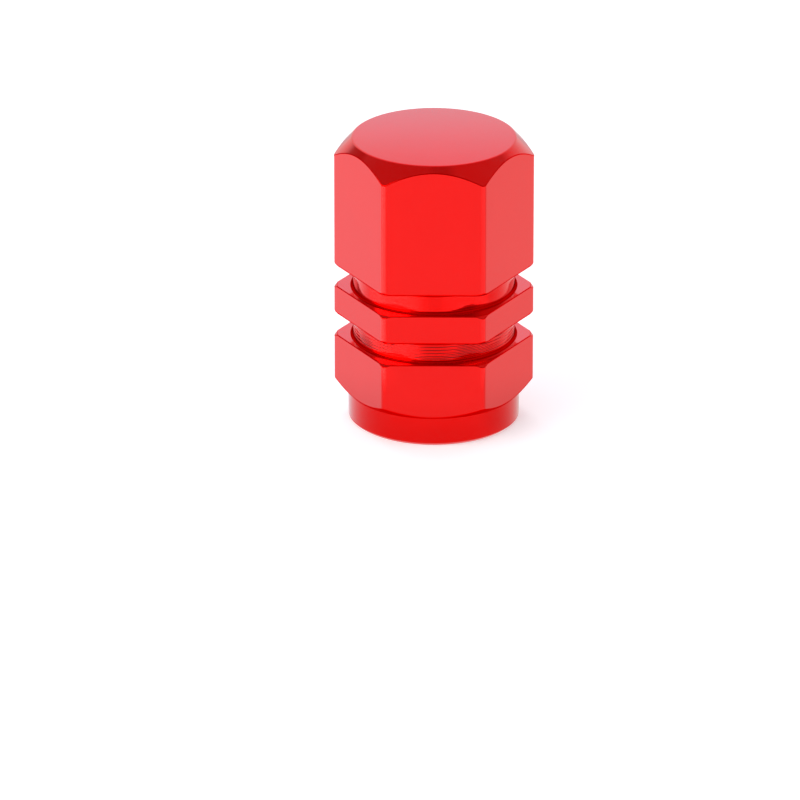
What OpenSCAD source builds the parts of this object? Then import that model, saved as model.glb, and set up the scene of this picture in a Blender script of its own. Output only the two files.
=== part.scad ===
// Tyre valve cap, turned from hexagonal bar, with a blind threaded bore and a sealing washer.
// It stands on its mouth at z = 0, with its closed end up. One flat faces -Y.

/* [Hexagonal bar] */
// Wall of the round collar around the thread's minor diameter, which sets the size of the bar
collar_wall = 1.13; // [1:0.01:2.5]
// How far the collar lies inside the flats of the bar
collar_inset = 0.07; // [0.03:0.01:0.2]
// Radius along the six long corners
corner_r = 0.35; // [0.1:0.05:1.2]
// How far the turned ends of each section cut into the long corners
corner_break = 0.15; // [0.05:0.05:0.25]

/* [Sections, from the mouth up] */
// Length of the round collar at the mouth
collar_len = 1.6; // [0.6:0.1:4]
// Length of the foot, the lower hexagonal section
foot_len = 3.15; // [1.5:0.05:6]
// Width of the lower groove
lower_groove_w = 1.2; // [0.4:0.05:3]
// Length of the hexagonal ring between the grooves
ring_len = 1.65; // [0.6:0.05:4]
// Width of the upper groove
upper_groove_w = 1.15; // [0.4:0.05:3]
// Length of the head, the long hexagonal section, up to the rim of the end face
head_len = 7.45; // [6:0.05:14]

/* [Turned steps] */
// Bevel on the outer edge of the mouth
mouth_bevel = 0.15; // [0.05:0.05:0.25]
// Rise of the cone that turns the foot's corners down to the collar, in degrees
foot_cone_angle = 35; // [20:1:50]
// Depth of both grooves below the flats
groove_depth = 0.35; // [0.1:0.05:0.5]
// Fillet at the root of each groove
root_fillet = 0.16; // [0.05:0.01:0.18]
// How far the rim of the end face lies inside the flats
end_inset = 0.3; // [0.1:0.05:1.5]
// Slope of the chamfer down from the rim of the end face, in degrees
end_chamfer_angle = 47; // [30:1:60]
// Rise of the slightly domed end face above its rim
end_crown = 0.15; // [0.05:0.05:0.5]

/* [Threaded bore] */
// Minor diameter of the thread, which is the drilled wall
thread_minor_d = 7.1; // [4:0.05:12]
// Length of the threaded wall
thread_len = 8.2; // [7:0.1:8.5]
// Width of the 45 degree countersink at the mouth
countersink_w = 0.675; // [0.3:0.025:0.725]
// Angle at the point of the drill
drill_point_angle = 118; // [90:1:140]

/* [Sealing washer] */
// How far the washer reaches out behind the thread's minor wall
washer_grip = 0.35; // [0.1:0.05:0.5]
// Width of the washer's ring
washer_ring_w = 1.9; // [1:0.1:2]
// Thickness of the washer
washer_t = 1.2; // [0.6:0.1:1.6]
// Gap around the washer in its groove
washer_side_gap = 0.05; // [0.01:0.01:0.1]
// Gap between the washer and the end of the thread
washer_end_gap = 0.1; // [0.05:0.05:0.3]

/* [Hidden] */
$fn = 96;

thread_minor_r = thread_minor_d / 2;
collar_r = thread_minor_r + collar_wall;
apothem = collar_r + collar_inset;
// The corners before rounding, which no turned face lies outside
bar_r = apothem / cos(30);
corner_centre = (apothem - corner_r) / cos(30);
rounded_corner_r = corner_centre + corner_r;

neck_r = apothem - groove_depth;
end_face_r = apothem - end_inset;
break_r = rounded_corner_r - corner_break;

foot_z = collar_len;
lower_groove_z = foot_z + foot_len;
ring_z = lower_groove_z + lower_groove_w;
upper_groove_z = ring_z + ring_len;
head_z = upper_groove_z + upper_groove_w;
rim_z = head_z + head_len;
total_h = rim_z + end_crown;

countersink_r = thread_minor_r + countersink_w;
washer_r = thread_minor_r + washer_grip;
relief_r = washer_r + washer_side_gap;
relief_z = countersink_w + thread_len;
seat_z = relief_z + washer_end_gap + washer_t;
drill_point_h = thread_minor_r / tan(drill_point_angle / 2);

// Radius of the domed end face, and half the angle that it spans
crown_r = (pow(end_face_r, 2) + pow(end_crown, 2)) / (2 * end_crown);
crown_angle = asin(end_face_r / crown_r);
crown_steps = 6;
// Steps in the arc of each rounded corner
corner_steps = 6;
// How far cuts run past the faces that they open
overrun = 1;

// Hexagon with rounded corners. Its flats face -Y, +Y and every 60 degrees between.
module rounded_hexagon() {
    polygon([
        for (corner = [0 : 60 : 300], a = [-30 : 60 / corner_steps : 30])
            corner_centre * [cos(corner), sin(corner)] + corner_r * [cos(corner + a), sin(corner + a)]
    ]);
}

// Half outline of the turned collar, with the cone that leads out to the corners of the foot
function collar_outline() = [
    [0, 0],
    [collar_r - mouth_bevel, 0],
    [collar_r, mouth_bevel],
    [collar_r, foot_z],
    [bar_r, foot_z + (bar_r - collar_r) * tan(foot_cone_angle)]
];

// Half outline of one groove from z to z + w, with its fillets and the broken corners beside it
function groove_outline(z, w) = concat(
    [[bar_r, z - (bar_r - break_r)], [break_r, z]],
    [for (a = [0 : 15 : 90])
        [neck_r + root_fillet * (1 - sin(a)), z + root_fillet * (1 - cos(a))]],
    [for (a = [0 : 15 : 90])
        [neck_r + root_fillet * (1 - cos(a)), z + w - root_fillet * (1 - sin(a))]],
    [[break_r, z + w], [bar_r, z + w + (bar_r - break_r)]]
);

// Half outline of the closed end, with its chamfer and its dome
function end_outline() = concat(
    [[bar_r, rim_z - (bar_r - end_face_r) * tan(end_chamfer_angle)]],
    [for (step = [0 : crown_steps])
        let (a = crown_angle * (1 - step / crown_steps))
            [crown_r * sin(a), total_h - crown_r * (1 - cos(a))]]
);

module turned_form() {
    rotate_extrude()
        polygon(concat(
            collar_outline(),
            groove_outline(lower_groove_z, lower_groove_w),
            groove_outline(upper_groove_z, upper_groove_w),
            end_outline()
        ));
}

// Countersink, drilled wall, washer groove and drill point, as the space that they take
module bore() {
    countersink_top_r = countersink_r + overrun;
    translate([0, 0, -overrun])
        cylinder(h = countersink_top_r - thread_minor_r, r1 = countersink_top_r, r2 = thread_minor_r);
    translate([0, 0, -overrun])
        cylinder(h = seat_z + overrun, r = thread_minor_r);
    translate([0, 0, relief_z])
        cylinder(h = seat_z - relief_z, r = relief_r);
    translate([0, 0, seat_z])
        cylinder(h = drill_point_h, r1 = thread_minor_r, r2 = 0);
}

module cap_body() {
    color("red")
        difference() {
            intersection() {
                linear_extrude(height = total_h) rounded_hexagon();
                turned_form();
            }
            bore();
        }
}

// The washer lies flat against its seat, held by the end of the thread
module sealing_washer() {
    color("black")
        translate([0, 0, seat_z - washer_t])
            difference() {
                cylinder(h = washer_t, r = washer_r);
                translate([0, 0, -overrun])
                    cylinder(h = washer_t + 2 * overrun, r = washer_r - washer_ring_w);
            }
}

cap_body();
sealing_washer();
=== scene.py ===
"""Tyre valve cap, turned from hexagonal bar and anodised red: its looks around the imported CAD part.

The cap's own piece follows the CAD form, with its edges rounded and the thread cut into the bore. Names
that end in _MM are in millimetres, those that end in _PER_MM are counts to the millimetre, and everything
that Blender holds is in metres.
"""

import math

import bmesh
import bpy
import numpy as np
from mathutils import Matrix, Vector


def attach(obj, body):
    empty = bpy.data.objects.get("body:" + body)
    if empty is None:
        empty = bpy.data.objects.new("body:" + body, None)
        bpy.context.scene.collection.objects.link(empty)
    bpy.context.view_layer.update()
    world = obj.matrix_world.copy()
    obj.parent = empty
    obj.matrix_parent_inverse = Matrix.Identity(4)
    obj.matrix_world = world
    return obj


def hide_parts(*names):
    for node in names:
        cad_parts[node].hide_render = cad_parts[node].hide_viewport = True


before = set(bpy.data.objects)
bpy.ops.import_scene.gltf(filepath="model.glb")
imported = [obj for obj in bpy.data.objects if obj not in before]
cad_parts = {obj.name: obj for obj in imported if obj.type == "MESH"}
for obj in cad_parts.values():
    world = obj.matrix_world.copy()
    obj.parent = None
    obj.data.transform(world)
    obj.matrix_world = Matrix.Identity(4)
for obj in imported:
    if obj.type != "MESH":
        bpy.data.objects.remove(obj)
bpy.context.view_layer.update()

MM = 0.001

# The bar
APOTHEM_MM = 4.75
CORNER_R_MM = 0.35
CORNER_BREAK_MM = 0.15
CORNER_CENTRE_MM = (APOTHEM_MM - CORNER_R_MM) / math.cos(math.radians(30))
ROUNDED_CORNER_R_MM = CORNER_CENTRE_MM + CORNER_R_MM
BREAK_R_MM = ROUNDED_CORNER_R_MM - CORNER_BREAK_MM

# Stations from the mouth up
FOOT_Z_MM = 1.6
LOWER_GROOVE_Z_MM = 4.75
RING_Z_MM = 5.95
UPPER_GROOVE_Z_MM = 7.6
HEAD_Z_MM = 8.75
RIM_Z_MM = 16.2
TOP_Z_MM = 16.35

# Turned outside
COLLAR_R_MM = 4.68
MOUTH_BEVEL_MM = 0.15
FOOT_CONE_DEG = 35
NECK_R_MM = 4.4
END_FACE_R_MM = 4.45
END_CHAMFER_DEG = 47
CROWN_R_MM = (END_FACE_R_MM ** 2 + (TOP_Z_MM - RIM_Z_MM) ** 2) / (2 * (TOP_Z_MM - RIM_Z_MM))
CROWN_DEG = math.degrees(math.asin(END_FACE_R_MM / CROWN_R_MM))

# Bore, thread and sealing washer
COUNTERSINK_R_MM = 4.225
THREAD_MINOR_R_MM = 3.55
THREAD_MAJOR_R_MM = 3.9
THREAD_PITCH_MM = 0.794
THREAD_SOFT_MM = 0.03
RELIEF_R_MM = 3.95
RELIEF_Z_MM = 8.875
SEAT_Z_MM = 10.175
DRILL_POINT_DEG = 118
DRILL_POINT_Z_MM = SEAT_Z_MM + THREAD_MINOR_R_MM / math.tan(math.radians(DRILL_POINT_DEG / 2))
WASHER_R_MM = 3.9
WASHER_HOLE_R_MM = 2.0
WASHER_Z_MM = 8.975

# Radii along the edges and roots. An upper edge is at the top of a section, a lower edge at its bottom.
UPPER_EDGE_MM = 0.05
LOWER_EDGE_MM = 0.12
FOOT_EDGE_MM = 0.12
CHAMFER_EDGE_MM = 0.09
END_RIM_MM = 0.17
FINE_EDGE_MM = 0.03
ROOT_MM = 0.16
WASHER_EDGE_MM = 0.15

# Steps of the mesh, and how close two points are that become one
ARC_STEPS = 4
DOME_STEPS = 10
FLAT_STEPS = 24
CORNER_STEPS = 10
SAME_POINT_M = 2e-8

# Finishes, in the order of the cap's materials
FINISH_BAR, FINISH_TURNED, FINISH_THREAD, FINISH_ROOT_PAINTED_SHADE, FINISH_NECK, FINISH_EDGE = range(6)


# Outlines: half sections of turned forms, as points (r, z)

def side(facing, r, z, finish=FINISH_TURNED):
    """A straight side through (r, z) that faces so many degrees above outward."""
    angle = math.radians(facing)
    return {"facing": facing, "reach": r * math.cos(angle) + z * math.sin(angle), "finish": finish}


def arc_centre(a, b, radius):
    """Centre of the arc in the corner of sides a and b. An inside corner has a negative radius."""
    facings = [math.radians(s["facing"]) for s in (a, b)]
    rows = [[math.cos(angle), math.sin(angle)] for angle in facings]
    return np.linalg.solve(rows, [a["reach"] - radius, b["reach"] - radius])


def misses(s, centre, radius):
    """True where side s cuts nothing off a corner that is rounded about that centre."""
    angle = math.radians(s["facing"])
    return centre[0] * math.cos(angle) + centre[1] * math.sin(angle) <= s["reach"] - radius


def arc_centres(sides, radii):
    """One centre for each corner. A 45 degree break that misses the bar gives its two arcs one centre."""
    centres = [arc_centre(a, b, radius) for a, b, radius in zip(sides, sides[1:], radii)]
    for k in range(1, len(sides) - 1):
        before, after = sides[k - 1], sides[k + 1]
        bar_beside = FINISH_BAR in (before["finish"], after["finish"])
        if bar_beside and abs(before["facing"] - after["facing"]) == 90:
            shared = arc_centre(before, after, radii[k])
            if misses(sides[k], shared, radii[k]):
                centres[k - 1] = centres[k] = shared
    return centres


def rounded_outline(sides, radii):
    """Points along the sides in turn, with an arc at each corner, always as many for as many sides."""
    points = []
    for centre, a, b, radius in zip(arc_centres(sides, radii), sides, sides[1:], radii):
        for step in range(ARC_STEPS + 1):
            angle = math.radians(a["facing"] + (b["facing"] - a["facing"]) * step / ARC_STEPS)
            points.append((centre[0] + radius * math.cos(angle), centre[1] + radius * math.sin(angle)))
    return points


def outside_form(bar_r):
    """The outside from the countersink to the end face, where the bar's skin is bar_r from the axis: its
    sides, and a radius and a finish for the corner between each two."""
    sides = [
        side(-135, COUNTERSINK_R_MM, 0),
        side(-90, 0, 0),
        side(-45, COLLAR_R_MM, MOUTH_BEVEL_MM),
        side(0, COLLAR_R_MM, 0),
        side(FOOT_CONE_DEG - 90, COLLAR_R_MM, FOOT_Z_MM, FINISH_EDGE),
        side(0, bar_r, 0, FINISH_BAR),
    ]
    corners = [(FINE_EDGE_MM, FINISH_TURNED)] * 3
    corners += [(-FINE_EDGE_MM, FINISH_EDGE), (FOOT_EDGE_MM, FINISH_EDGE)]
    for z_low, z_high in ((LOWER_GROOVE_Z_MM, RING_Z_MM), (UPPER_GROOVE_Z_MM, HEAD_Z_MM)):
        sides += [
            side(45, BREAK_R_MM, z_low),
            side(90, 0, z_low),
            side(0, NECK_R_MM, 0, FINISH_NECK),
            side(-90, 0, z_high),
            side(-45, BREAK_R_MM, z_high),
            side(0, bar_r, 0, FINISH_BAR),
        ]
        corners += [(UPPER_EDGE_MM, FINISH_EDGE)] * 2
        # The root fillets take the darker finish: painted shade in the grooves' roots
        corners += [(-ROOT_MM, FINISH_ROOT_PAINTED_SHADE)] * 2
        corners += [(LOWER_EDGE_MM, FINISH_EDGE)] * 2
    sides += [
        side(90 - END_CHAMFER_DEG, END_FACE_R_MM, RIM_Z_MM),
        side(90 - CROWN_DEG, END_FACE_R_MM, RIM_Z_MM),
    ]
    corners += [(CHAMFER_EDGE_MM, FINISH_EDGE), (END_RIM_MM, FINISH_TURNED)]
    return sides, corners


def domed_end():
    """The slightly domed end face, from just inside its rim to the middle."""
    rings = []
    for step in range(1, DOME_STEPS + 1):
        angle = math.radians(CROWN_DEG) * (1 - step / DOME_STEPS)
        rings.append((CROWN_R_MM * math.sin(angle), TOP_Z_MM - CROWN_R_MM * (1 - math.cos(angle))))
    return rings


def outside_finishes(sides, corners):
    """The finish after each point of the outside's arcs."""
    finishes = []
    for (_, finish), after in zip(corners, sides[1:]):
        finishes += [finish] * ARC_STEPS + [after["finish"]]
    return finishes


def thread_outline():
    """Heights and radii along one pitch of the thread, from the middle of a crest to the next."""
    crest = flank = THREAD_PITCH_MM / 4
    soft = THREAD_SOFT_MM
    low, high = THREAD_MINOR_R_MM, THREAD_MAJOR_R_MM
    rise = (high - low) * soft / flank
    half = [
        (0, low), (crest / 2 - soft, low), (crest / 2, low + rise / 4), (crest / 2 + soft, low + rise),
        (crest / 2 + flank / 2, (low + high) / 2),
        (crest / 2 + flank - soft, high - rise), (crest / 2 + flank, high - rise / 4),
        (crest / 2 + flank + soft, high),
    ]
    other = [(THREAD_PITCH_MM - height, r) for height, r in reversed(half[1:])]
    return zip(*(half + [(THREAD_PITCH_MM / 2, high)] + other))


def thread_columns(angles, mouth_z):
    """The threaded wall from the relief down to the mouth, in rows that follow a right-handed helix."""
    heights, radii = (np.array(values) for values in thread_outline())
    turns = math.ceil(RELIEF_Z_MM / THREAD_PITCH_MM) + 2
    rows = np.sort(np.concatenate([heights + (k - 1) * THREAD_PITCH_MM for k in range(turns)]))[::-1]
    columns = []
    for angle in angles:
        climb = angle / (2 * math.pi) * THREAD_PITCH_MM
        z = np.clip(rows + climb, mouth_z, RELIEF_Z_MM)
        r = np.interp(z - climb, heights, radii, period=THREAD_PITCH_MM)
        columns.append(list(zip(np.maximum(r, COUNTERSINK_R_MM - z), z)))
    return columns, len(heights)


# Meshes

def bar_outline():
    """(angle, radius) of the rounded hexagon at each column of the mesh, closest together at corners."""
    polar = []
    half_flat = CORNER_CENTRE_MM / 2
    for corner in range(0, 360, 60):
        for step in range(CORNER_STEPS + 1):
            angle = math.radians(60 * step / CORNER_STEPS - 30)
            x = CORNER_CENTRE_MM + CORNER_R_MM * math.cos(angle)
            y = CORNER_R_MM * math.sin(angle)
            polar.append((math.radians(corner) + math.atan2(y, x), math.hypot(x, y)))
        for step in range(1, FLAT_STEPS):
            across = half_flat * (2 * step / FLAT_STEPS - 1)
            angle = math.radians(corner + 30) + math.atan2(across, APOTHEM_MM)
            polar.append((angle, math.hypot(across, APOTHEM_MM)))
    return sorted((angle % (2 * math.pi), r) for angle, r in polar)


class Skin:
    """Points and faces of a turned piece, built from one outline for each angle round the axis."""

    def __init__(self, angles):
        self.angles = angles
        self.points, self.faces, self.finishes = [], [], []

    def add(self, outlines, finishes, seam_shift=0):
        """Joins neighbouring outlines. The last meets the first so many points further on."""
        first, length = len(self.points), len(outlines[0])
        for angle, outline in zip(self.angles, outlines):
            x, y = math.cos(angle), math.sin(angle)
            self.points += [(r * x * MM, r * y * MM, z * MM) for r, z in outline]
        for i in range(len(self.angles)):
            last = i == len(self.angles) - 1
            here = first + i * length
            there = first + (seam_shift if last else (i + 1) * length)
            for j in range(length - 1):
                if not last or 0 <= j + seam_shift < length - 1:
                    self.faces.append((here + j, there + j, there + j + 1, here + j + 1))
                    self.finishes.append(finishes[j])

    def mesh(self, name):
        made = bpy.data.meshes.new(name)
        made.from_pydata(self.points, [], self.faces)
        made.polygons.foreach_set("material_index", self.finishes)
        shape = bmesh.new()
        shape.from_mesh(made)
        bmesh.ops.remove_doubles(shape, verts=shape.verts, dist=SAME_POINT_M)
        shape.to_mesh(made)
        shape.free()
        made.polygons.foreach_set("use_smooth", [True] * len(made.polygons))
        set_weighted_normals(made)
        return made


def set_weighted_normals(made):
    """Each point's normal follows the larger faces round it, so that flats stay flat up to their arcs."""
    area = np.empty(len(made.polygons))
    facing = np.empty(len(made.polygons) * 3)
    count = np.empty(len(made.polygons), dtype=np.int32)
    corner = np.empty(len(made.loops), dtype=np.int32)
    made.polygons.foreach_get("area", area)
    made.polygons.foreach_get("normal", facing)
    made.polygons.foreach_get("loop_total", count)
    made.loops.foreach_get("vertex_index", corner)
    normals = np.zeros((len(made.vertices), 3))
    np.add.at(normals, corner, (facing.reshape(-1, 3) * area[:, None]).repeat(count, axis=0))
    lengths = np.linalg.norm(normals, axis=1)
    normals /= np.maximum(lengths, np.finfo(float).tiny)[:, None]
    made.normals_split_custom_set_from_vertices([Vector(n) for n in normals])


def cap_mesh():
    """The cap as one closed skin: the bottom of the bore, the threaded wall and the outside."""
    polar = bar_outline()
    angles = [angle for angle, _ in polar]
    dome = domed_end()
    outside = []
    for _, bar_r in polar:
        sides, corners = outside_form(bar_r)
        outside.append(rounded_outline(sides, [radius for radius, _ in corners]) + dome)
    wall, rows_per_turn = thread_columns(angles, mouth_z=outside[0][0][1])
    depth = [
        (0, DRILL_POINT_Z_MM), (THREAD_MINOR_R_MM / 2, (DRILL_POINT_Z_MM + SEAT_Z_MM) / 2),
        (THREAD_MINOR_R_MM, SEAT_Z_MM), (RELIEF_R_MM, SEAT_Z_MM), (RELIEF_R_MM, RELIEF_Z_MM),
    ]
    skin = Skin(angles)
    skin.add([depth + [column[0]] for column in wall], [FINISH_THREAD] * len(depth))
    skin.add(wall, [FINISH_THREAD] * len(wall[0]), seam_shift=-rows_per_turn)
    skin.add(outside, outside_finishes(sides, corners) + [FINISH_TURNED] * len(dome))
    return skin.mesh("cap")


def washer_mesh():
    """The rubber ring, with soft edges."""
    angles = [math.radians(a) for a in range(0, 360, 3)]
    middle_r = (WASHER_R_MM + WASHER_HOLE_R_MM) / 2
    sides = [
        side(-90, 0, WASHER_Z_MM), side(0, WASHER_R_MM, 0), side(90, 0, SEAT_Z_MM),
        side(180, WASHER_HOLE_R_MM, 0), side(270, 0, WASHER_Z_MM),
    ]
    edges = rounded_outline(sides, [WASHER_EDGE_MM] * 4)
    outline = [(middle_r, WASHER_Z_MM)] + edges + [(middle_r, WASHER_Z_MM)]
    skin = Skin(angles)
    skin.add([outline] * len(angles), [0] * len(outline))
    return skin.mesh("washer")


# Materials

# Sockets of the Mix node that hold colours
MIX_A, MIX_B, MIX_RESULT = 6, 7, 2


class Graph:
    """A node tree that is written one node to a line."""

    def __init__(self, tree):
        tree.nodes.clear()
        self.tree = tree

    def node(self, kind, inputs=(), **settings):
        made = self.tree.nodes.new(kind)
        for name, value in settings.items():
            setattr(made, name, value)
        for name, value in dict(inputs).items():
            if isinstance(value, bpy.types.NodeSocket):
                self.tree.links.new(value, made.inputs[name])
            else:
                made.inputs[name].default_value = value
        return made

    def math(self, operation, a, b=0.0):
        return self.node("ShaderNodeMath", {0: a, 1: b}, operation=operation).outputs[0]

    def ramp(self, value, low, high, to_low=0.0, to_high=1.0):
        sockets = {"Value": value, "From Min": low, "From Max": high, "To Min": to_low, "To Max": to_high}
        return self.node("ShaderNodeMapRange", sockets, interpolation_type="SMOOTHSTEP").outputs[0]

    def noise(self, vector, scale, detail=2.0, roughness=0.5):
        sockets = {"Vector": vector, "Scale": scale, "Detail": detail, "Roughness": roughness}
        return self.node("ShaderNodeTexNoise", sockets).outputs["Fac"]

    def mix(self, share, a, b):
        sockets = {"Factor": share, MIX_A: a, MIX_B: b}
        return self.node("ShaderNodeMix", sockets, data_type="RGBA").outputs[MIX_RESULT]

    def bump(self, height, whole_mm, strength=1.0):
        """The normal over a surface of that height, where 1 is whole_mm high."""
        sockets = {"Height": height, "Strength": strength, "Distance": whole_mm * MM}
        return self.node("ShaderNodeBump", sockets).outputs["Normal"]

    def along(self, vector, direction):
        """How far the vector reaches in that direction."""
        sockets = {0: vector, 1: direction}
        return self.node("ShaderNodeVectorMath", sockets, operation="DOT_PRODUCT").outputs["Value"]


def new_material(name):
    """A material, and the graph of its nodes."""
    material = bpy.data.materials.new(name)
    material.use_nodes = True
    return material, Graph(material.node_tree)


def surface_coordinates(graph):
    """The point on the surface in millimetres, as a vector and as the radius and height of its lathe."""
    place = graph.node("ShaderNodeTexCoord").outputs["Object"]
    mm = graph.node("ShaderNodeVectorMath", {0: place, "Scale": 1 / MM}, operation="SCALE").outputs[0]
    split = graph.node("ShaderNodeSeparateXYZ", {0: mm})
    x, y, height = (split.outputs[axis] for axis in "XYZ")
    level = graph.node("ShaderNodeCombineXYZ", {"X": x, "Y": y}).outputs[0]
    radius = graph.node("ShaderNodeVectorMath", {0: level}, operation="LENGTH").outputs["Value"]
    return mm, radius, height


# A plain and a deep red for each kind of surface, and how far clouds in the dye go towards the deep one.
# The tints colour what the metal mirrors at grazing angles.
ANODISED_REDS = (0.85, 0.0012, 0.0004, 1), (0.80, 0.0008, 0.0002, 1)
# The root fillets' darker reds and dark tint are painted shade in the grooves' roots, not a different dye
ROOT_PAINTED_SHADE_REDS = (0.64, 0.0007, 0.0002, 1), (0.56, 0.0005, 0.0001, 1)
DEEPEST_SHARE = 0.35
ROOT_PAINTED_SHADE_TINT = (0.40, 0, 0, 1)
EDGE_TINT = (0.85, 0, 0, 1)
NO_TINT = (1, 1, 1, 1)
COAT_ROUGHNESS = 0.06
# How much rougher the metal gets by its tool marks, as a factor, and by its grain, as a sum
MARKED_ROUGHER = 1.35
GRAIN_ROUGHER = 0.02

# Noises: lumps to the millimetre, and the range that most of a noise lies in
CLOUDS_PER_MM = 0.35
GRAINS_PER_MM = 9
FINE_RINGS_PER_MM = 14
FINE_RINGS_SHARE = 0.6
BROAD_RINGS_PER_MM = 3.5
BROAD_RINGS_SHARE = 0.4
UNEVEN_PER_MM = 0.5
DIE_LINES_PER_MM = 6
DIE_LINES_STRETCH = (1, 1, 0.03)
NOISE_RANGE = (0.3, 0.7)
MARKS_RANGE = (0.2, 0.8)
UNEVEN_RANGE = (0.35, 0.65)

# The ridges that the grooving tool left round the lower neck, and the finer rings over them, in shares of
# the marks' whole height. The lowest ridge is a share of the highest, and all stand on one level.
RIDGE_PITCH_MM = 0.18
RIDGE_HEIGHT = 0.55
LOWEST_RIDGE = 0.6
FINE_HEIGHT = 0.2
NECK_LEVEL = 0.4


def anodised(name, marks, roughness, mark_height_mm, coat_ior, reds=ANODISED_REDS, tint=NO_TINT):
    """Dyed oxide over aluminium, with the height of its tool marks from marks()."""
    material, graph = new_material(name)
    mm, radius, height = surface_coordinates(graph)
    marked = marks(graph, mm, radius, height)
    cloud = graph.noise(mm, CLOUDS_PER_MM, detail=3)
    grain = graph.noise(mm, GRAINS_PER_MM, detail=2)
    colour = graph.mix(graph.ramp(cloud, *NOISE_RANGE, 0, DEEPEST_SHARE), *reds)
    by_marks = graph.ramp(marked, *MARKS_RANGE, roughness, roughness * MARKED_ROUGHER)
    by_grain = graph.ramp(grain, *NOISE_RANGE, 0, GRAIN_ROUGHER)
    shader = graph.node("ShaderNodeBsdfPrincipled", {
        "Base Color": colour, "Metallic": 1.0, "Roughness": graph.math("ADD", by_marks, by_grain),
        "Normal": graph.bump(marked, mark_height_mm), "Specular Tint": tint,
        "Coat Weight": 1.0, "Coat Roughness": COAT_ROUGHNESS, "Coat IOR": coat_ior,
    })
    graph.node("ShaderNodeOutputMaterial", {"Surface": shader.outputs[0]})
    return material


def lathe_marks(graph, mm, radius, height):
    """Fine rings round the axis, on cylinders, cones and faces alike."""
    lathe = graph.node("ShaderNodeCombineXYZ", {"X": radius, "Y": height}).outputs[0]
    fine = graph.noise(lathe, FINE_RINGS_PER_MM, detail=3, roughness=0.6)
    broad = graph.noise(lathe, BROAD_RINGS_PER_MM, detail=1)
    fine = graph.math("MULTIPLY", fine, FINE_RINGS_SHARE)
    return graph.math("ADD", fine, graph.math("MULTIPLY", broad, BROAD_RINGS_SHARE))


def neck_marks(graph, mm, radius, height):
    """Fine rings, with the tool's wider ridges round the lower neck."""
    wave = graph.math("SINE", graph.math("MULTIPLY", height, 2 * math.pi / RIDGE_PITCH_MM))
    strength = graph.ramp(height, RING_Z_MM, UPPER_GROOVE_Z_MM, RIDGE_HEIGHT, 0)
    uneven = graph.ramp(graph.noise(mm, UNEVEN_PER_MM, detail=2), *UNEVEN_RANGE, LOWEST_RIDGE, 1)
    ridges = graph.math("MULTIPLY", graph.math("MULTIPLY", wave, strength), uneven)
    fine = graph.math("MULTIPLY", lathe_marks(graph, mm, radius, height), FINE_HEIGHT)
    return graph.math("ADD", graph.math("ADD", ridges, fine), NECK_LEVEL)


def drawn_marks(graph, mm, radius, height):
    """Faint lines along the bar, left by the die that it was drawn through."""
    sockets = {0: mm, 1: DIE_LINES_STRETCH}
    stretched = graph.node("ShaderNodeVectorMath", sockets, operation="MULTIPLY").outputs[0]
    return graph.noise(stretched, DIE_LINES_PER_MM, detail=3, roughness=0.6)


RUBBER_SHADES = (0.010, 0.010, 0.011, 1), (0.026, 0.025, 0.024, 1)
RUBBER_ROUGHNESS = (0.5, 0.68)
RUBBER_GRAIN_MM = 0.02
RUBBER_GRAINS_PER_MM = 12
BLOOM_PER_MM = 1.2
BLOOM_RANGE = (0.35, 0.7)


def rubber():
    """Black rubber with a fine grain and a pale bloom."""
    material, graph = new_material("black_rubber")
    mm, _, _ = surface_coordinates(graph)
    grain = graph.noise(mm, RUBBER_GRAINS_PER_MM, detail=4, roughness=0.65)
    bloom = graph.noise(mm, BLOOM_PER_MM, detail=2)
    shade = graph.mix(graph.ramp(bloom, *BLOOM_RANGE), *RUBBER_SHADES)
    shader = graph.node("ShaderNodeBsdfPrincipled", {
        "Base Color": shade, "Roughness": graph.ramp(grain, *NOISE_RANGE, *RUBBER_ROUGHNESS),
        "Normal": graph.bump(grain, RUBBER_GRAIN_MM, strength=0.7), "IOR": 1.5,
    })
    graph.node("ShaderNodeOutputMaterial", {"Surface": shader.outputs[0]})
    return material


# Pieces

def new_object(name, data):
    made = bpy.data.objects.new(name, data)
    bpy.context.scene.collection.objects.link(made)
    return made


def piece(name, mesh, materials, node):
    """A piece of the cap, which stands for that CAD node."""
    made = new_object(name, mesh)
    for material in materials:
        mesh.materials.append(material)
    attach(made, "root")
    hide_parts(node)


# A coat with an index of 1 mirrors nothing, so that roots and edges stay red where light grazes them. The
# root fillets are also a darker red with a dark tint: painted shade in the grooves' roots.
piece("red_cap", cap_mesh(), [
    anodised("anodised_bar", drawn_marks, roughness=0.09, mark_height_mm=0.001, coat_ior=1.29),
    anodised("anodised_turned", lathe_marks, roughness=0.10, mark_height_mm=0.003, coat_ior=1.2),
    anodised("anodised_thread", lathe_marks, roughness=0.13, mark_height_mm=0.003, coat_ior=1.2),
    anodised("anodised_root_painted_shade", lathe_marks, roughness=0.14, mark_height_mm=0.003, coat_ior=1.0,
             reds=ROOT_PAINTED_SHADE_REDS, tint=ROOT_PAINTED_SHADE_TINT),
    anodised("anodised_neck", neck_marks, roughness=0.10, mark_height_mm=0.02, coat_ior=1.2),
    anodised("anodised_edge", lathe_marks, roughness=0.10, mark_height_mm=0.003, coat_ior=1.0,
             tint=EDGE_TINT),
], "cap_body")
piece("rubber_washer", washer_mesh(), [rubber()], "sealing_washer")


# Floor, light and camera

# What the cap mirrors is laid out by direction. The middle of each part of the light is turned so many
# degrees from the front to the right, and rises so many above level. The part is full up to one angle
# from its middle, and gone beyond another.

def towards(turn, rise):
    turn, rise = math.radians(turn), math.radians(rise)
    return Vector((math.sin(turn) * math.cos(rise), -math.cos(turn) * math.cos(rise), math.sin(rise)))


def with_parts(graph, direction, colour, parts):
    """The colour seen in a direction, with those parts of the light laid over it in turn."""
    for part in parts:
        near = graph.along(direction, towards(part["turn"], part["rise"]))
        gone, full = math.cos(math.radians(part["gone"])), math.cos(math.radians(part["full"]))
        colour = graph.mix(graph.ramp(near, gone, full), colour, part["light"])
    return colour
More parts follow.
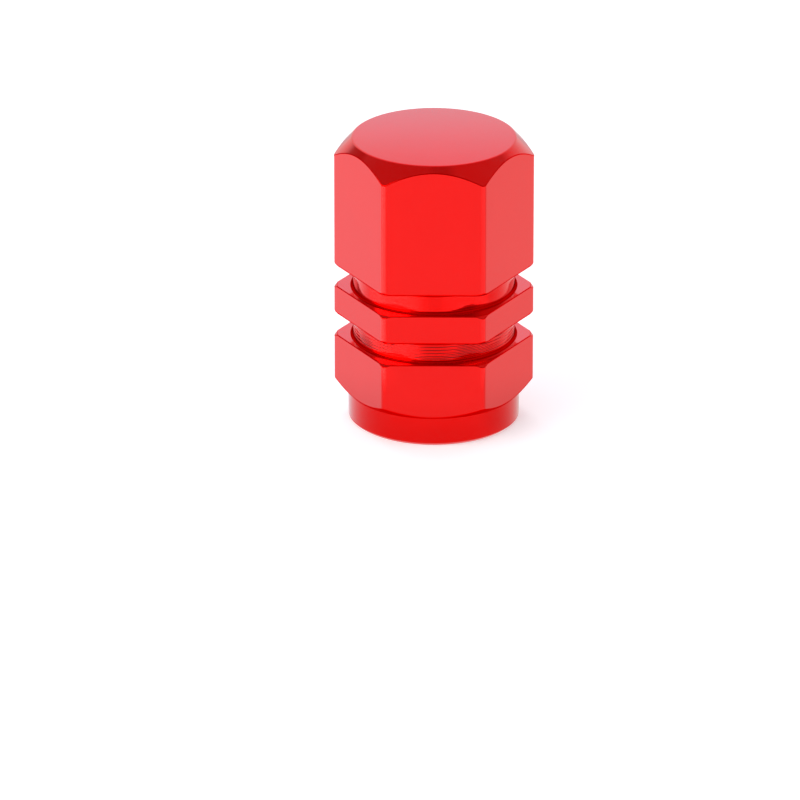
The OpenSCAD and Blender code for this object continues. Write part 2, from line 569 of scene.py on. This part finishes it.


# The table as the cap mirrors it is painted light, an emission that only glossy rays see: the front, the
# sides with a darker, pinker right,
#  a painted glare where no lamp is, and a painted dim reddish shade far behind the cap. The glare and the
#  far part come in between two distances from the cap's axis.
TABLE_FRONT = (1.15, 1.13, 1.10, 1)
PAINTED_TABLE_SIDES = (
    {"turn": -110, "rise": 0, "full": 40, "gone": 70, "light": (1.09, 1.10, 1.16, 1)},
    {"turn": 110, "rise": 0, "full": 40, "gone": 70, "light": (1.00, 0.86, 0.84, 1)},
)
PAINTED_GLARE = (
    {"turn": -52, "rise": 0, "full": 4, "gone": 46, "light": (3.0, 3.0, 3.0, 1)},
    {"turn": 45, "rise": 0, "full": 14, "gone": 38, "light": (1.5, 1.5, 1.5, 1)},
)
PAINTED_GLARE_STARTS_MM = (13, 16)
PAINTED_SHADE_FAR_BEHIND = (
    {"turn": 180, "rise": 0, "full": 30, "gone": 50, "light": (0.72, 0.58, 0.60, 1)},
)
PAINTED_SHADE_FAR_STARTS_MM = (45, 80)
# Painted shade: it is darker near the cap, standing in for the cap's shadow. Each ramp rises to the whole
# between two distances in millimetres.
PAINTED_SHADE_NEAR = (
    {"low": 5, "high": 12, "to_low": 0.82},
    {"low": 10, "high": 30, "to_low": 0.955},
)

# The table itself. Its painted glow, which makes it lighter on the front left and lightens the cap's
# shadow, falls between two places on a line to the back right.
ACRYLIC_SHADES = (0.80, 0.795, 0.80, 1), (0.78, 0.775, 0.78, 1)
MOTTLES_PER_MM = 0.05
GLOW_COLOUR = (1, 0.985, 1, 1)
PAINTED_GLOW = (0.47, 0.34)
GLOW_TURN = 150
GLOW_FALLS_MM = (-6, 16)
FLOOR_HALF_M = 0.2


def painted_mirrored_table(graph, mm):
    """Painted light that the cap mirrors from the table, with a painted glare, painted shade near the cap
    and a painted reddish shade far behind it.
    """
    direction = graph.node("ShaderNodeVectorMath", {0: mm}, operation="NORMALIZE").outputs["Vector"]
    distance = graph.node("ShaderNodeVectorMath", {0: mm}, operation="LENGTH").outputs["Value"]
    colour = with_parts(graph, direction, TABLE_FRONT, PAINTED_TABLE_SIDES)
    with_painted_glare = with_parts(graph, direction, colour, PAINTED_GLARE)
    colour = graph.mix(graph.ramp(distance, *PAINTED_GLARE_STARTS_MM), colour, with_painted_glare)
    with_painted_far_shade = with_parts(graph, direction, colour, PAINTED_SHADE_FAR_BEHIND)
    colour = graph.mix(graph.ramp(distance, *PAINTED_SHADE_FAR_STARTS_MM), colour, with_painted_far_shade)
    painted_shade = graph.math("MULTIPLY", *(graph.ramp(distance, **rise) for rise in PAINTED_SHADE_NEAR))
    return graph.node("ShaderNodeEmission", {"Color": colour, "Strength": painted_shade}).outputs[0]


def light_table():
    """White acrylic, lit from above, with a painted glow that is stronger on the front left. Glossy rays
    see painted table light in its place.
    """
    material, graph = new_material("white_acrylic")
    mm, _, _ = surface_coordinates(graph)
    mottle = graph.ramp(graph.noise(mm, MOTTLES_PER_MM, detail=2), *NOISE_RANGE)
    painted_glow = graph.ramp(graph.along(mm, towards(GLOW_TURN, 0)), *GLOW_FALLS_MM, *PAINTED_GLOW)
    shader = graph.node("ShaderNodeBsdfPrincipled", {
        "Base Color": graph.mix(mottle, *ACRYLIC_SHADES), "Roughness": 0.7, "Specular IOR Level": 0.2,
        "Emission Color": GLOW_COLOUR, "Emission Strength": painted_glow,
    })
    # Glossy rays see the painted table light instead of the table's own shading
    sockets = {
        0: graph.node("ShaderNodeLightPath").outputs["Is Glossy Ray"],
        1: shader.outputs[0],
        2: painted_mirrored_table(graph, mm),
    }
    both = graph.node("ShaderNodeMixShader", sockets)
    graph.node("ShaderNodeOutputMaterial", {"Surface": both.outputs[0]})
    return material


def floor():
    mesh = bpy.data.meshes.new("floor")
    reach = FLOOR_HALF_M
    corners = [(-reach, -reach, 0), (reach, -reach, 0), (reach, reach, 0), (-reach, reach, 0)]
    mesh.from_pydata(corners, [], [(0, 1, 2, 3)])
    mesh.materials.append(light_table())
    new_object("floor", mesh)


# The studio round the cap: the room over a low dark horizon, with walls and lamps in front of both. The
# horizon gives way to the room between two heights of the direction. The camera sees a pale backdrop.
ROOM = (0.56, 0.56, 0.58, 1)
HORIZON = (0.17, 0.012, 0.01, 1)
HORIZON_FADES = (0.02, 0.16)
BACKDROP = (0.97, 0.97, 0.975, 1)
UPPER_PARTS = (
    {"turn": 82, "rise": 48, "full": 22, "gone": 30, "light": (0.635, 0.63, 0.64, 1)},
    {"turn": 14, "rise": 64, "full": 4, "gone": 12, "light": (0.47, 0.46, 0.46, 1)},
    {"turn": 25, "rise": 14, "full": 24, "gone": 50, "light": (0.31, 0.30, 0.30, 1)},
)
WALLS = (
    {"turn": -64, "rise": 16, "full": 14, "gone": 33, "light": (3.6, 3.6, 3.6, 1)},
    {"turn": -50, "rise": 34, "full": 9, "gone": 17, "light": (3.6, 3.6, 3.6, 1)},
    {"turn": 180, "rise": 44, "full": 12, "gone": 50, "light": (1.02, 1.02, 1.20, 1)},
    {"turn": -128, "rise": 22, "full": 8, "gone": 18, "light": (0.47, 0.20, 0.20, 1)},
    {"turn": -158, "rise": 26, "full": 8, "gone": 20, "light": (0.98, 0.98, 1.00, 1)},
    {"turn": -158, "rise": -2, "full": 12, "gone": 24, "light": (0.92, 0.68, 0.68, 1)},
    {"turn": 144, "rise": 10, "full": 14, "gone": 38, "light": (0.92, 0.82, 0.84, 1)},
)


def studio():
    world = bpy.data.worlds.new("studio")
    bpy.context.scene.world = world
    world.use_nodes = True
    graph = Graph(world.node_tree)
    direction = graph.node("ShaderNodeTexCoord").outputs["Generated"]
    height = graph.node("ShaderNodeSeparateXYZ", {0: direction}).outputs["Z"]
    room = with_parts(graph, direction, ROOM, UPPER_PARTS)
    colour = graph.mix(graph.ramp(height, *HORIZON_FADES), HORIZON, room)
    colour = with_parts(graph, direction, colour, WALLS)
    seen = graph.node("ShaderNodeLightPath").outputs["Is Camera Ray"]
    sockets = {"Color": graph.mix(seen, colour, BACKDROP), "Strength": 1.0}
    background = graph.node("ShaderNodeBackground", sockets)
    graph.node("ShaderNodeOutputWorld", {"Surface": background.outputs[0]})


OVERHEAD_PLACE_M = (-0.05, 0.1, 0.5)
OVERHEAD_SIDE_M = 0.35
OVERHEAD_POWER_W = 0.72


def overhead():
    """A softbox above the cap, aimed at its middle, for the soft shadow. The cap doesn't mirror it."""
    light = bpy.data.lights.new("overhead", "AREA")
    light.shape = "SQUARE"
    light.size = OVERHEAD_SIDE_M
    light.energy = OVERHEAD_POWER_W
    made = new_object("overhead", light)
    made.location = OVERHEAD_PLACE_M
    aim = Vector((0, 0, TOP_Z_MM * MM / 2)) - Vector(OVERHEAD_PLACE_M)
    made.rotation_euler = aim.to_track_quat("-Z", "Y").to_euler()
    made.visible_glossy = False
    made.visible_camera = False


# The camera, from the standing cap's outline in the photograph. Names that end in _PX are in its pixels:
# the picture's side, the distance of the end face, and the end face's place from the picture's middle.
PHOTO_SIDE_PX = 800
SENSOR_MM = 36
CAMERA_DEPTH_PX = 9000
CAMERA_DOWN_DEG = 22.56
CAMERA_ROUND_DEG = 0.46
PX_PER_MM = 18.47
END_FACE_RIGHT_PX = 34.1
END_FACE_UP_PX = 263.35
CLIP_M = (0.01, 10)


def camera():
    data = bpy.data.cameras.new("camera")
    data.sensor_width = SENSOR_MM
    data.lens = SENSOR_MM * CAMERA_DEPTH_PX / PHOTO_SIDE_PX
    data.clip_start, data.clip_end = CLIP_M
    down = math.radians(CAMERA_DOWN_DEG)
    right = Vector((1, 0, 0))
    up = Vector((0, math.sin(down), math.cos(down)))
    ahead = Vector((0, math.cos(down), -math.sin(down)))
    end_face = Vector((0, 0, RIM_Z_MM * MM))
    m_per_px = MM / PX_PER_MM
    offset = right * END_FACE_RIGHT_PX + up * END_FACE_UP_PX + ahead * CAMERA_DEPTH_PX
    turn = Matrix((right, up, -ahead)).transposed()
    place = Matrix.Translation(end_face - offset * m_per_px) @ turn.to_4x4()
    made = new_object("camera", data)
    made.matrix_world = Matrix.Rotation(math.radians(CAMERA_ROUND_DEG), 4, "Z") @ place
    bpy.context.scene.camera = made


floor()
studio()
overhead()
camera()
bpy.context.scene.view_settings.view_transform = "Standard"
